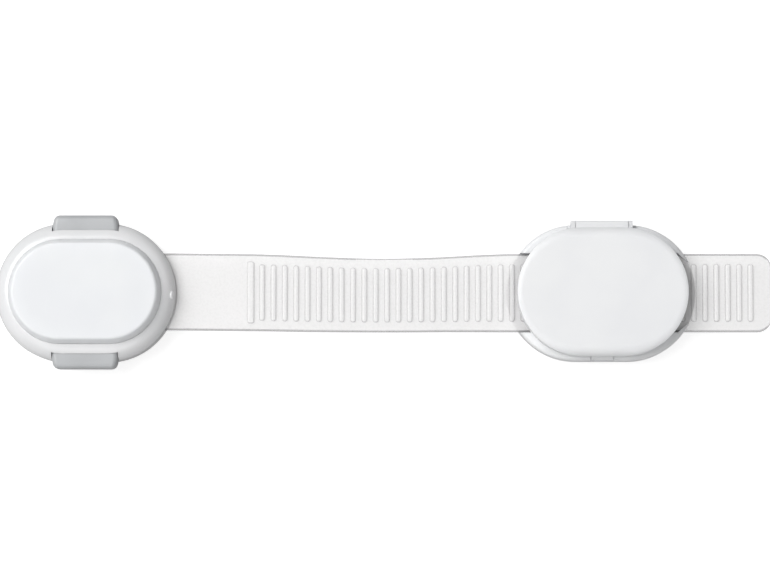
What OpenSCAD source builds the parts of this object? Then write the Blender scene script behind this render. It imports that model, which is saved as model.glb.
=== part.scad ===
// Cabinet safety lock: two stick-on oval pucks joined by a ribbed strap.
// Millimetres, Z up, strap along X, pads stand on Z = 0, origin under the middle of the lock.

/* [Pucks] */
// Length of the latch puck along the strap
puck_l = 44.2; // [43:0.2:50]
// Width of the latch puck across the strap
puck_w = 34; // [33:0.2:37]
// Length of the adjuster puck along the strap
adjuster_l = 46.6; // [44:0.2:50]
// Width of the adjuster puck across the strap
adjuster_w = 33.6; // [32.6:0.2:37]
// Thickness of each adhesive foam pad
pad_t = 1; // [0.6:0.1:2]
// How far each pad stays inside the puck outline
pad_inset = 1.3; // [0.8:0.1:2.5]
// Thickness of the latch base plate
plate_t = 1.8; // [1.6:0.1:2.6]
// Chamfer on the rims where two mouldings meet
rim_c = 0.25; // [0.1:0.05:0.4]
// Chamfer on hidden rims
inner_c = 0.2; // [0.1:0.05:0.3]

/* [Strap] */
// Width of the strap
strap_w = 19; // [18:0.25:20]
// Thickness of the strap between its ribs
web_t = 1.6; // [1.2:0.1:2]
// Rounding of the long strap edges
strap_edge = 0.5; // [0.2:0.05:0.55]
// Plain stretch from the hidden strap end to the first rib
plain_l = 31.2; // [28:0.2:40]
// Number of ribs
rib_n = 45; // [40:1:48]
// Distance from rib to rib
rib_pitch = 2.8; // [2.6:0.05:3.2]
// Height of the ribs
rib_h = 0.8; // [0.5:0.05:0.9]
// Width of a rib at its foot
rib_w = 1.4; // [1.2:0.05:1.6]
// Length of a rib across the strap
rib_l = 14; // [10:0.5:15]
// Extra width of the first rib
lead_rib_w = 0.4; // [0.1:0.05:0.6]
// Extra length of the first rib
lead_rib_l = 1.3; // [0.2:0.1:2]
// Plain stretch from the last rib to the tail end
tail_l = 5.3; // [4:0.1:12]
// Corner radius of the tail end
tail_r = 3; // [1:0.25:6]
// Distance from the head centre to the hidden strap end
strap_in = 9.3; // [8:0.1:10.4]
// Strap left between its hidden end and the boss holes
strap_lap = 1.4; // [1:0.1:2]

/* [Latch head] */
// Height of the housing above the base plate
head_h = 8.5; // [8:0.1:10]
// Wall thickness of the housing
wall_t = 1.8; // [1.4:0.1:2.1]
// Roof thickness of the housing
roof_t = 1.6; // [1.4:0.1:1.8]
// Large rounding of the housing shoulder
house_round = 4.1; // [3:0.1:5]
// Thickness of the back plate
back_t = 1.5; // [1.3:0.1:1.8]
// Wall thickness of the collar on the back plate
collar_t = 1.1; // [0.9:0.1:1.4]
// Room above the collar for the barbs
collar_room = 2.1; // [2:0.1:2.6]
// Thickness of the bar that keeps the strap down at the mouth
clamp_t = 1.8; // [1.2:0.1:2.4]
// How far that bar stands in from the housing wall
clamp_in = 2.8; // [2.2:0.1:3.4]
// Height of the raised cap
cap_h = 2.9; // [1.8:0.1:4]
// How far the cap narrows from foot to face
cap_draft = 1.1; // [0.4:0.1:2]
// Rounding of the cap edge
cap_edge = 0.7; // [0.3:0.1:1.2]
// How much further the cap reaches at its two ends
cap_long = 0.8; // [0:0.1:1]
// Wall thickness of the cap
cap_wall = 2; // [1.2:0.1:3]
// Face thickness of the cap
cap_t = 1.4; // [1:0.1:1.6]
// Peg diameter under the cap
peg_d = 3; // [2.4:0.1:3.6]
// Diameter of the screw bosses in the housing
boss_d = 4.2; // [4:0.1:4.6]
// Distance of the bosses from the middle line
boss_y = 5.5; // [5:0.1:6]
// Shank diameter of the back plate screws
screw_d = 1.9; // [1.5:0.1:2.1]
// Length of the back plate screws
screw_l = 5; // [4:0.1:5.6]
// Head diameter of the back plate screws
screw_head_d = 3.7; // [3.2:0.1:4]
// Height of the countersunk screw heads
screw_head_h = 1; // [0.8:0.05:1.2]

/* [Buttons] */
// Length of a button along the strap
button_l = 16.2; // [14:0.2:17]
// How far a button stands out past the puck outline
button_proud = 1.9; // [0.8:0.1:2.2]
// Push travel of a button
button_travel = 1.5; // [1.2:0.1:1.8]
// Plan corner radius of a button
button_r = 1.1; // [0.5:0.1:1.6]
// How far each button end leans in towards its face
button_taper = 0.5; // [0.1:0.1:1]
// Rounding of the upper and lower button edges
button_edge = 1.3; // [0.3:0.1:2]
// Roof left above a button window
window_roof = 0.7; // [0.5:0.1:1]
// Thickness of the flange that keeps a button in
flange_t = 1.6; // [1.2:0.1:2]
// How far the flange reaches past each button end
flange_lip = 1.7; // [1.2:0.1:2.2]
// Width of the plunger that reaches the catch
plunger_w = 5.6; // [4:0.2:6]
// Wire diameter of the button springs
wire_d = 0.4; // [0.3:0.05:0.45]
// Outer diameter of the button springs
coil_d = 2.6; // [2.2:0.1:2.8]
// Curls in a button spring
curls = 6; // [4:1:6]
// Length of the spigots that hold a spring
spigot_l = 1; // [0.6:0.1:1.4]

/* [Catch] */
// Width of the catch arms
arm_w = 6; // [5:0.25:7]
// Thickness of the catch arms
arm_t = 1; // [0.8:0.05:1.2]
// Clear distance between the catch arms
arm_gap = 6.4; // [5.6:0.2:7.2]
// Room between a catch arm and the collar
arm_play = 0.4; // [0.3:0.05:0.6]
// How far a barb stands out from its arm
barb = 1.1; // [0.9:0.05:1.3]
// Height of the upright barb face
barb_h = 0.9; // [0.6:0.05:1]
// Height of the slope above a barb
barb_lead = 0.8; // [0.6:0.05:0.9]
// Flat left on top of an arm past its outer face
barb_flat = 0.3; // [0.1:0.05:0.5]
// Thickness of the catch foot
foot_t = 0.9; // [0.7:0.05:1]
// How far the catch foot reaches past the arms
foot_lip = 0.8; // [0.5:0.1:1.2]
// Height of the block that locates the head
block_h = 1.2; // [0.8:0.1:1.4]
// Wall of that block beside the arms
block_wall = 0.6; // [0.4:0.1:1]

/* [Adjuster] */
// Rib gap that holds the pawl tooth, counted from the head
tooth_gap = 31; // [20:1:33]
// Distance from the tray middle to the pawl tooth
tooth_off = 1.7; // [1:0.1:2.4]
// Rounding of the tray rim
tray_round = 1; // [0.5:0.1:1.4]
// Thickness of the tray floor in its side pockets
tray_floor = 1.4; // [1:0.1:2]
// Wall round the side pockets of the tray
tray_wall = 3.6; // [3.4:0.1:4]
// Wall beside the strap channel
guide_t = 1.4; // [1:0.1:1.8]
// Reach of the lugs over the strap margin along the channel
lug_l = 3; // [2:0.1:4]
// Height of the lid
lid_h = 5.7; // [5.4:0.1:8]
// Large rounding of the lid edge
lid_round = 2.6; // [2:0.1:3.6]
// How much further the flat lid face reaches at its two ends
lid_face_long = 1.4; // [0.8:0.1:1.6]
// Wall thickness of the lid
lid_t = 1.8; // [1.5:0.1:2]
// Chamfer inside the lid
lid_soft = 1.2; // [0.5:0.1:1.6]
// How far the lid stays inside the tray outline at its sides
lid_inset = 1; // [0.6:0.1:1.2]
// How far the lid stays inside the tray outline at the two strap mouths
mouth_inset = 2.4; // [1:0.1:2.8]
// Diameter of the hinge pin
pin_d = 1.6; // [1.2:0.1:1.8]
// Wall of the hinge bar round the pin
knuckle_t = 0.7; // [0.6:0.05:0.9]
// Length of the whole hinge
hinge_l = 15.2; // [13:0.2:18]
// How far the hinge bar stands out past the tray outline
hinge_proud = 0.9; // [0.7:0.1:1.2]
// Chamfer of the hinge bar
bar_c = 0.3; // [0.1:0.05:0.5]
// Width of each hinge ear
ear_w = 1; // [0.8:0.1:3]
// Depth of each hinge ear below the pin
ear_h = 2.6; // [2:0.1:3]
// Flat on an ear behind the pin
ear_back = 0.7; // [0.4:0.1:1]
// Width of the snap tongue
tongue_w = 5.2; // [4:0.2:7]
// Thickness of the snap tongue
tongue_t = 1.5; // [1.2:0.1:1.6]
// Depth of the snap bead below the lid rim
snap_drop = 1.8; // [1.4:0.1:2]
// Radius of the snap bead
bead_r = 0.3; // [0.2:0.05:0.4]
// Reach of the thumb lip
lip = 0.8; // [0.4:0.1:1]
// Thickness of the thumb lip at its tip
lip_t = 0.5; // [0.3:0.05:0.8]
// Width of the pawl across the strap
pawl_w = 12; // [10:0.5:14]
// Thickness of the pawl at its root
pawl_t = 1.1; // [0.9:0.05:1.3]
// Distance from the tray middle to the pawl root
root_x = 6.5; // [6:0.1:7]
// Length of the pawl root
root_l = 5; // [4:0.2:6]
// Height of the seat under the pawl root
seat_h = 0.8; // [0.6:0.05:1]
// Distance between the two stakes that hold the pawl
stake_gap = 7; // [6:0.2:8]
// Diameter of a stake
stake_d = 1.8; // [1.4:0.1:2]
// Diameter of a stake head
stake_head_d = 3.2; // [2.8:0.1:3.6]
// Thickness of a stake head
stake_head_t = 0.7; // [0.5:0.05:0.8]
// Thickness of the pawl leaf beside its tooth
leaf_t = 0.9; // [0.7:0.05:1.1]

/* [Fits] */
// Gap between moving flat faces and loose mouldings
slip = 0.3; // [0.2:0.05:0.35]
// Gap between mouldings that sit still beside each other
ease = 0.2; // [0.15:0.01:0.25]
// Gap where two pieces almost touch
near = 0.1; // [0.06:0.01:0.14]
// Gap round the pawl tooth and under its leaf
tooth_play = 0.25; // [0.2:0.01:0.3]
// Radial running clearance of the hinge pin
pin_run = 0.05; // [0.02:0.01:0.1]
// Radial clearance of the hinge pin in its ears
pin_grip = 0.02; // [0.01:0.01:0.05]
// Radial clearance of fixed pegs and screws
seat = 0.05; // [0.02:0.01:0.1]

/* [Hidden] */
$fn = 64;

// How far a cut reaches past the faces that it opens
over = 1;
// How far joined shapes reach into each other
root = 0.3;

// Oval outlines: radius of the ends and distance of their centres from the middle
puck_r = puck_w / 2;
puck_c = (puck_l - puck_w) / 2;
tray_r = adjuster_w / 2;
tray_c = (adjuster_l - adjuster_w) / 2;
lid_r = tray_r - lid_inset;
lid_c = adjuster_l / 2 - mouth_inset - lid_r;
cap_r = puck_r - house_round;
cap_c = puck_c + cap_long;

// Heights from the pads upward
z_plate = pad_t + plate_t;
z_strap = z_plate + back_t;
z_web = z_strap + web_t;
z_rib = z_web + rib_h;
z_house = z_plate + head_h;
z_ceil = z_house - roof_t;

// Strap and puck places along X
strap_len = plain_l + (rib_n - 1) * rib_pitch + tail_l;
head_x = -(strap_in + strap_len - puck_l / 2) / 2;
strap_x0 = head_x + strap_in;
strap_x1 = strap_x0 + strap_len;
first_rib_x = strap_x0 + plain_l;
tooth_x = first_rib_x + (tooth_gap + 0.5) * rib_pitch;
adjuster_x = tooth_x - tooth_off;
channel_y = strap_w / 2 + slip;

// Head sizes that follow from the ones above
inner_r = puck_r - wall_t;
boss_x = strap_in + strap_lap + boss_d / 2 + ease;
mouth_x = boss_x + boss_d / 2 + slip;
arm_in = arm_gap / 2;
arm_out = arm_in + arm_t;
foot_x = arm_w / 2 + foot_lip;
foot_y = arm_out + foot_lip;
block_x = arm_w / 2 + block_wall;
win_x = block_x + slip;
win_y = arm_out + arm_play;
z_collar = z_ceil - collar_room;
z_barb = z_collar + near;
plunger_z0 = z_collar + ease;
plunger_z1 = z_ceil - slip;
plunger_y = arm_out + barb + slip;
flange_x = button_l / 2 + flange_lip;
flange_gap = max(0, flange_x - puck_c);
flange_y = sqrt(pow(inner_r, 2) - pow(flange_gap, 2)) - ease;
window_z1 = z_house - window_roof;
button_y = puck_r + button_proud;
block_y = flange_y - flange_t / 2;
spring_y0 = win_y + collar_t;
spring_y1 = flange_y - flange_t;
spring_z = (z_strap + plunger_z0) / 2;
coil_r = (coil_d - wire_d) / 2;
spigot_r = coil_r - wire_d / 2 - ease;
curl_pitch = (spring_y1 - spring_y0 - 2 * wire_d) / curls;

// Adjuster heights and hinge place
z_floor = z_strap - slip;
z_tray = z_rib + near;
z_lid = z_tray + ease;
z_lid_top = z_lid + lid_h;
z_lid_in = z_lid_top - lid_t;
knuckle_r = pin_d / 2 + knuckle_t;
hinge_y = tray_r + hinge_proud - knuckle_r;
hinge_x = hinge_l / 2;
ear_x0 = hinge_x - ear_w;
// Farthest point of the hinge bar from its pin, and the room that it turns in
bar_reach = sqrt(pow(knuckle_r, 2) + pow(knuckle_r - bar_c, 2));
bar_room = bar_reach + ease;
notch_y = lid_r - tongue_t;
z_snap = z_lid - snap_drop;
z_pawl = z_lid_in - seat_h;
lug_y = rib_l / 2 + ease;

// Middle of the spring wire at one of the eight steps of a curl
function wire_mid(i) = [coil_r * cos(45 * i), coil_r * sin(45 * i), curl_pitch * i / 8];
spring_steps = 8 * curls;
spring_gap = min([
    for (i = [0:spring_steps - 4]) for (j = [i + 4:spring_steps])
        norm(wire_mid(j) - wire_mid(i))
]) - wire_d;
echo("least gap of a button spring to itself", spring_gap);

// Sweeps a half profile of radius and height round an oval whose end centres lie c from the middle
module oval_sweep(c) {
    for (side = [-1, 1])
        translate([side * c, 0, 0])
            rotate([0, 0, -90 * side])
                rotate_extrude(angle = 180)
                    children();
    rotate([90, 0, 90])
        translate([0, 0, -c])
            linear_extrude(2 * c) {
                children();
                mirror([1, 0])
                    children();
            }
}

// Flat oval plate with chamfered rims
module oval_plate(c, r, z0, z1, c0, c1) {
    oval_sweep(c)
        polygon([[0, z0], [r - c0, z0], [r, z0 + c0], [r, z1 - c1], [r - c1, z1], [0, z1]]);
}

// Oval dome: upright wall that turns into a flat top through a large rounding
module oval_dome(c, r, round_r, z0, z1, c0) {
    oval_sweep(c) {
        polygon([
            [0, z0], [r - c0, z0], [r, z0 + c0], [r, z1 - round_r], [r - round_r, z1], [0, z1]
        ]);
        translate([r - round_r, z1 - round_r])
            intersection() {
                circle(round_r);
                square(round_r);
            }
    }
}

// Box given by half length, half width and two heights
module slab(hx, hy, z0, z1) {
    translate([-hx, -hy, z0])
        cube([2 * hx, 2 * hy, z1 - z0]);
}

// Outline of Y and Z drawn out along X
module along_x(x0, x1) {
    rotate([90, 0, 90])
        translate([0, 0, x0])
            linear_extrude(x1 - x0)
                children();
}

// Round bar along X
module bar_x(r, x0, x1) {
    along_x(x0, x1)
        circle(r);
}

// Round bar along Y
module bar_y(r, y0, y1) {
    translate([0, y0, 0])
        rotate([-90, 0, 0])
            cylinder(r = r, h = y1 - y0);
}

// Places that hold a back plate screw
module at_screws() {
    for (sx = [-1, 1], sy = [-1, 1])
        translate([sx * boss_x, sy * boss_y, 0])
            children();
}

// Adhesive foam pads

module foam_pad(c, r) {
    oval_plate(c, r - pad_inset, 0, pad_t, inner_c / 2, inner_c / 2);
}

module latch_pad() {
    color([0.86, 0.86, 0.84])
        translate([head_x, 0, 0])
            foam_pad(puck_c, puck_r);
}

module adjuster_pad() {
    color([0.86, 0.86, 0.84])
        translate([adjuster_x, 0, 0])
            foam_pad(tray_c, tray_r);
}

// Stick-on plate with the block that locates the head and the pocket for the catch foot

module latch_base() {
    color([0.95, 0.95, 0.95])
        translate([head_x, 0, 0])
            difference() {
                union() {
                    oval_plate(puck_c, puck_r, pad_t, z_plate, inner_c, rim_c);
                    slab(block_x, arm_out, z_plate - root, z_plate + block_h);
                }
                slab(foot_x + near, foot_y + near, pad_t - over, pad_t + foot_t + seat);
                for (side = [-1, 1])
                    translate([0, side * (arm_in + arm_out) / 2, 0])
                        slab(arm_w / 2 + near, arm_t / 2 + near, pad_t, z_plate + block_h + over);
            }
}

// One catch arm as seen along the strap
module catch_arm() {
    z_foot = pad_t + foot_t - near;
    z_top = z_barb + barb_h + barb_lead;
    along_x(-arm_w / 2, arm_w / 2)
        polygon([
            [arm_in, z_foot],
            [arm_out, z_foot],
            [arm_out, z_barb],
            [arm_out + barb, z_barb],
            [arm_out + barb, z_barb + barb_h],
            [arm_out + barb_flat, z_top],
            [arm_in, z_top]
        ]);
}

module catch_spring() {
    color([0.9, 0.9, 0.86])
        translate([head_x, 0, 0]) {
            slab(foot_x, foot_y, pad_t, pad_t + foot_t);
            catch_arm();
            mirror([0, 1, 0])
                catch_arm();
        }
}

// Closing plate under the head with the collar that the barbs hold and a sill under the strap

module back_plate() {
    color([0.93, 0.93, 0.93])
        translate([head_x, 0, 0])
            difference() {
                union() {
                    oval_plate(puck_c, inner_r - slip, z_plate, z_strap, inner_c, inner_c);
                    slab(win_x + collar_t, win_y + collar_t, z_strap - root, z_collar);
                    intersection() {
                        oval_plate(puck_c, puck_r - near, z_plate, z_strap, inner_c, inner_c);
                        translate([boss_x + puck_r, 0, 0])
                            slab(puck_r, strap_w / 2, z_plate, z_strap);
                    }
                    for (side = [0, 1])
                        mirror([0, side, 0])
                            translate([0, 0, spring_z])
                                bar_y(spigot_r, spring_y0 - root, spring_y0 + spigot_l);
                }
                slab(win_x, win_y, z_plate - over, z_collar + over);
                at_screws() {
                    translate([0, 0, z_plate - over])
                        cylinder(d = screw_d + 2 * ease, h = back_t + 2 * over);
                    translate([0, 0, z_plate])
                        cylinder(d1 = screw_head_d + 2 * seat, d2 = screw_d + 2 * seat, h = screw_head_h);
                }
            }
}

module back_plate_screws() {
    color([0.7, 0.7, 0.72])
        translate([head_x, 0, 0])
            at_screws()
                translate([0, 0, z_plate]) {
                    cylinder(d1 = screw_head_d - 2 * seat, d2 = screw_d - 2 * seat, h = screw_head_h);
                    cylinder(d = screw_d, h = screw_l);
                }
}

// Domed housing of the head

module latch_housing() {
    clamp_x = puck_c + inner_r - clamp_in;
    color([0.97, 0.97, 0.97])
        translate([head_x, 0, 0])
            difference() {
                union() {
                    difference() {
                        oval_dome(puck_c, puck_r, house_round, z_plate, z_house, rim_c);
                        oval_sweep(puck_c) {
                            polygon([
                                [0, z_plate - over], [inner_r, z_plate - over],
                                [inner_r, z_house - house_round],
                                [puck_r - house_round, z_ceil], [0, z_ceil]
                            ]);
                            intersection() {
                                translate([puck_r - house_round, z_house - house_round])
                                    circle(house_round - wall_t);
                                square([puck_r, z_ceil]);
                            }
                        }
                    }
                    at_screws()
                        translate([0, 0, z_strap])
                            cylinder(d = boss_d, h = z_ceil - z_strap + root);
                    translate([clamp_x, 0, 0])
                        slab(clamp_t / 2, strap_w / 2 - strap_lap, z_web + near, z_ceil + root);
                }
                translate([mouth_x + puck_r, 0, 0])
                    slab(puck_r, channel_y, z_plate - over, z_web + near);
                for (side = [0, 1])
                    mirror([0, side, 0])
                        translate([0, block_y - button_travel - ease + puck_r, 0])
                            slab(button_l / 2 + near, puck_r, z_strap, window_z1);
                at_screws()
                    translate([0, 0, z_plate])
                        cylinder(d = screw_d + 2 * seat, h = screw_l + 2 * slip);
                for (side = [-1, 1])
                    translate([side * cap_c, 0, z_ceil - over])
                        cylinder(d = peg_d + 2 * seat, h = roof_t + 2 * over);
            }
}

// Raised oval cap, pressed on with two pegs

module latch_cap() {
    face = cap_r - cap_draft;
    slope = sqrt(cap_draft * cap_draft + cap_h * cap_h);
    // Distance from the sharp corner to where the edge rounding begins
    lead = cap_edge * (slope - cap_draft) / cap_h;
    color([0.94, 0.95, 0.96])
        translate([head_x, 0, z_house]) {
            difference() {
                oval_sweep(cap_c) {
                    polygon([
                        [0, 0], [cap_r, 0],
                        [face + lead * cap_draft / slope, cap_h - lead * cap_h / slope],
                        [face - lead, cap_h], [0, cap_h]
                    ]);
                    translate([face - lead, cap_h - cap_edge])
                        circle(cap_edge);
                }
                oval_plate(cap_c, face - cap_wall, -over, cap_h - cap_t, inner_c, inner_c);
            }
            for (side = [-1, 1])
                translate([side * cap_c, 0, root - roof_t])
                    cylinder(d = peg_d, h = roof_t + cap_h - cap_t);
        }
}

// Squeeze button for the upper side; the lower one is its mirror image

module button_outline() {
    inner = button_l / 2;
    outer = inner - button_taper;
    // The ends lean in only where they stand out of the housing
    wall_y = sqrt(pow(puck_r, 2) - pow(max(0, inner - puck_c), 2));
    polygon([
        [-inner, block_y], [inner, block_y], [inner, wall_y], [outer, button_y - button_r],
        [outer - button_r, button_y], [button_r - outer, button_y], [-outer, button_y - button_r],
        [-inner, wall_y]
    ]);
    for (side = [-1, 1])
        translate([side * (outer - button_r), button_y - button_r])
            circle(button_r);
}

module button_side() {
    low = z_strap + ease;
    high = window_z1 - ease;
    polygon([
        [block_y, low], [button_y - button_edge, low], [button_y, low + button_edge],
        [button_y, high - button_edge], [button_y - button_edge, high], [block_y, high]
    ]);
    for (z = [low + button_edge, high - button_edge])
        translate([button_y - button_edge, z])
            circle(button_edge);
}

module button() {
    intersection() {
        linear_extrude(z_house)
            button_outline();
        along_x(-button_l, button_l)
            button_side();
    }
    translate([0, flange_y - flange_t / 2, 0])
        slab(flange_x, flange_t / 2, z_strap + ease, z_house - house_round + root);
    translate([0, (plunger_y + block_y + root) / 2, 0])
        slab(plunger_w / 2, (block_y + root - plunger_y) / 2, plunger_z0, plunger_z1);
    translate([0, 0, spring_z])
        bar_y(spigot_r, spring_y1 - spigot_l, spring_y1 + root);
}

module upper_button() {
    color([0.72, 0.73, 0.74])
        translate([head_x, 0, 0])
            button();
}

module lower_button() {
    color([0.72, 0.73, 0.74])
        translate([head_x, 0, 0])
            mirror([0, 1, 0])
                button();
}

// Six points round the spring wire at angle a and height h, moved along the wire by shift
function ring(a, h, shift) = let (
        out = [cos(a), sin(a), 0],
        rise = curl_pitch / (2 * PI * coil_r),
        run = [-sin(a), cos(a), rise] / sqrt(1 + rise * rise),
        up = cross(run, out)
    ) [
        for (k = [0:5])
            coil_r * out + [0, 0, h] + shift * run
            + wire_d / 2 * (cos(60 * k) * out + sin(60 * k) * up)
    ];

// Coil spring along Z as one unbroken tube with straight ends
module coil() {
    rings = concat(
        [ring(0, 0, -wire_d)],
        [for (i = [0:spring_steps]) ring(45 * i, curl_pitch * i / 8, 0)],
        [ring(45 * spring_steps, curl_pitch * curls, wire_d)]
    );
    last = len(rings) - 1;
    points = [for (r = rings) for (p = r) p];
    sides = [
        for (i = [0:last - 1]) for (k = [0:5]) for (half = [0, 1])
            let (a = 6 * i + k, b = 6 * i + (k + 1) % 6)
                half == 0 ? [a, b, b + 6] : [a, b + 6, a + 6]
    ];
    first_end = [[5, 4, 3, 2, 1, 0]];
    last_end = [[for (k = [0:5]) 6 * last + k]];
    polyhedron(points, concat(sides, first_end, last_end));
}

module button_spring() {
    translate([0, spring_y0 + wire_d, spring_z])
        rotate([-90, 0, 0])
            coil();
}

module upper_button_spring() {
    color([0.75, 0.75, 0.77])
        translate([head_x, 0, 0])
            button_spring();
}

module lower_button_spring() {
    color([0.75, 0.75, 0.77])
        translate([head_x, 0, 0])
            rotate([0, 0, 180])
                button_spring();
}

// Ribbed strap with its two boss holes

module strap_section() {
    h = strap_w / 2;
    translate([-h, strap_edge])
        square([2 * h, web_t - 2 * strap_edge]);
    translate([strap_edge - h, 0])
        square([2 * (h - strap_edge), web_t]);
    for (side = [-1, 1], z = [strap_edge, web_t - strap_edge])
        translate([side * (h - strap_edge), z])
            circle(strap_edge);
}

module strap_plan() {
    h = strap_w / 2;
    translate([strap_x0, -h])
        square([strap_len - tail_r, 2 * h]);
    translate([strap_x0, tail_r - h])
        square([strap_len, 2 * (h - tail_r)]);
    for (side = [-1, 1])
        translate([strap_x1 - tail_r, side * (h - tail_r)])
            circle(tail_r);
}

// Half-round rib across the strap with ball ends
module rib(w, l) {
    r = (w * w / 4 + rib_h * rib_h) / (2 * rib_h);
    reach = (l - w) / 2;
    translate([0, 0, rib_h - r]) {
        bar_y(r, -reach, reach);
        for (side = [-1, 1])
            translate([0, side * reach, 0])
                sphere(r);
    }
}

module strap() {
    color([0.9, 0.91, 0.91, 0.8])
        difference() {
            union() {
                intersection() {
                    translate([0, 0, z_strap])
                        along_x(strap_x0 - over, strap_x1 + over)
                            strap_section();
                    translate([0, 0, z_strap - over])
                        linear_extrude(web_t + 2 * over)
                            strap_plan();
                }
                translate([first_rib_x, 0, z_web])
                    rib(rib_w + lead_rib_w, rib_l + lead_rib_l);
                for (i = [1:rib_n - 1])
                    translate([first_rib_x + i * rib_pitch, 0, z_web])
                        rib(rib_w, rib_l);
            }
            for (side = [-1, 1])
                translate([head_x + boss_x, side * boss_y, z_strap - over])
                    cylinder(d = boss_d + 2 * ease, h = web_t + 2 * over);
        }
}

// Hinge bar seen along its pin: round below, flat above, reaching back by the given length
module hinge_bar(x0, x1, back) {
    along_x(x0, x1) {
        circle(knuckle_r);
        polygon([
            [-back, 0], [knuckle_r, 0], [knuckle_r, knuckle_r - bar_c],
            [knuckle_r - bar_c, knuckle_r], [-back, knuckle_r]
        ]);
    }
}

// Ear that carries one end of the hinge pin on the tray
module hinge_ear() {
    hinge_bar(ear_x0, hinge_x, ear_back);
    along_x(ear_x0, hinge_x)
        polygon([
            [-knuckle_r, 0], [knuckle_r, 0],
            [tray_r - hinge_y, -ear_h], [-knuckle_r, -ear_h]
        ]);
}

// Pointed lugs that keep the strap margins down where the strap leaves the tray
module guide_lugs() {
    tip = tray_c + sqrt(pow(tray_r, 2) - pow(lug_y, 2));
    intersection() {
        oval_dome(tray_c, tray_r, tray_round, pad_t, z_tray, inner_c);
        for (side = [0, 1])
            mirror([0, side, 0])
                translate([0, 0, z_web + ease])
                    linear_extrude(z_tray - z_web - ease)
                        polygon([
                            [tip - lug_l, channel_y + root],
                            [tip + over, channel_y + root],
                            [tip + over, lug_y],
                            [tip, lug_y],
                            [tip - lug_l, channel_y]
                        ]);
    }
}

// Tray of the adjuster: strap channel, hinge ears, guide lugs and the notch for the snap tongue

module adjuster_base() {
    notch_x = tongue_w / 2 + slip;
    color([0.95, 0.95, 0.95])
        translate([adjuster_x, 0, 0]) {
            difference() {
                union() {
                    oval_dome(tray_c, tray_r, tray_round, pad_t, z_tray, inner_c);
                    for (side = [0, 1])
                        mirror([side, 0, 0])
                            translate([0, hinge_y, z_lid])
                                hinge_ear();
                }
                slab(adjuster_l, channel_y, z_floor, z_lid + over);
                translate([0, hinge_y, z_lid]) {
                    bar_x(bar_room, -ear_x0 + near, ear_x0 - near);
                    bar_x(pin_d / 2 + pin_grip, -hinge_x - over, hinge_x + over);
                }
                for (side = [-1, 1])
                    intersection() {
                        oval_plate(tray_c, tray_r - tray_wall, pad_t + tray_floor, z_lid + over, inner_c, inner_c);
                        translate([0, side * (channel_y + guide_t + tray_r), 0])
                            slab(adjuster_l, tray_r, 0, z_lid + 2 * over);
                    }
                translate([0, near - notch_y - tray_r, 0])
                    slab(notch_x, tray_r, z_snap - 2 * bead_r - ease, z_lid + over);
                translate([0, near - notch_y, z_snap])
                    bar_x(bead_r + ease, -notch_x, notch_x);
            }
            guide_lugs();
        }
}

// Outside of the lid: wide rounding along its sides that runs out at its two ends
module lid_shell() {
    intersection() {
        oval_dome(lid_c + lid_face_long, lid_r + ease, lid_round + ease, z_lid - over, z_lid_top, rim_c);
        oval_plate(lid_c, lid_r, z_lid, z_lid_top + over, rim_c, rim_c);
    }
}

// Hinged lid: soft shell, centre knuckle, snap tongue with thumb lip, stakes for the pawl

module adjuster_lid() {
    hollow_y = hinge_y - bar_room - lid_t / 2;
    knuckle_x = ear_x0 - near;
    tongue_x = tongue_w / 2;
    color([0.94, 0.95, 0.95])
        translate([adjuster_x, 0, 0])
            difference() {
                union() {
                    difference() {
                        lid_shell();
                        translate([0, hinge_y + tray_r, 0])
                            slab(adjuster_l, tray_r, z_lid - over, z_lid_top + over);
                        intersection() {
                            oval_plate(lid_c, lid_r - lid_t, z_lid - over, z_lid_in, inner_c, lid_soft);
                            translate([0, hollow_y - adjuster_w, 0])
                                slab(adjuster_l, adjuster_w, z_lid - 2 * over, z_lid_top);
                        }
                    }
                    translate([0, hinge_y, z_lid])
                        hinge_bar(-knuckle_x, knuckle_x, knuckle_r + root);
                    translate([0, -(lid_r + notch_y) / 2, 0])
                        slab(tongue_x, (lid_r - notch_y) / 2, z_snap - 2 * bead_r, z_lid + lid_t);
                    translate([0, -notch_y, z_snap])
                        bar_x(bead_r, -tongue_x, tongue_x);
                    along_x(-tongue_x, tongue_x)
                        polygon([
                            [root - lid_r, z_lid], [-lid_r - lip, z_lid],
                            [-lid_r - lip, z_lid + lip_t], [root - lid_r, z_lid + 3 * lip_t]
                        ]);
                    translate([-root_x, 0, 0])
                        slab(root_l / 2, pawl_w / 2, z_pawl, z_lid_in + root);
                    for (side = [-1, 1])
                        translate([-root_x, side * stake_gap / 2, z_pawl - pawl_t - stake_head_t]) {
                            cylinder(d = stake_d, h = pawl_t + stake_head_t + root);
                            cylinder(d = stake_head_d, h = stake_head_t);
                        }
                }
                translate([0, hinge_y, z_lid]) {
                    bar_x(pin_d / 2 + pin_run, -hinge_l, hinge_l);
                    for (side = [0, 1])
                        mirror([side, 0, 0])
                            bar_x(bar_room, ear_x0 - near, hinge_x + ease);
                }
            }
}

module lid_hinge_pin() {
    color([0.7, 0.7, 0.72])
        translate([adjuster_x, hinge_y, z_lid])
            bar_x(pin_d / 2, -hinge_x, hinge_x);
}

// Flexible leaf under the lid with the tooth that sits between two ribs

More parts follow.
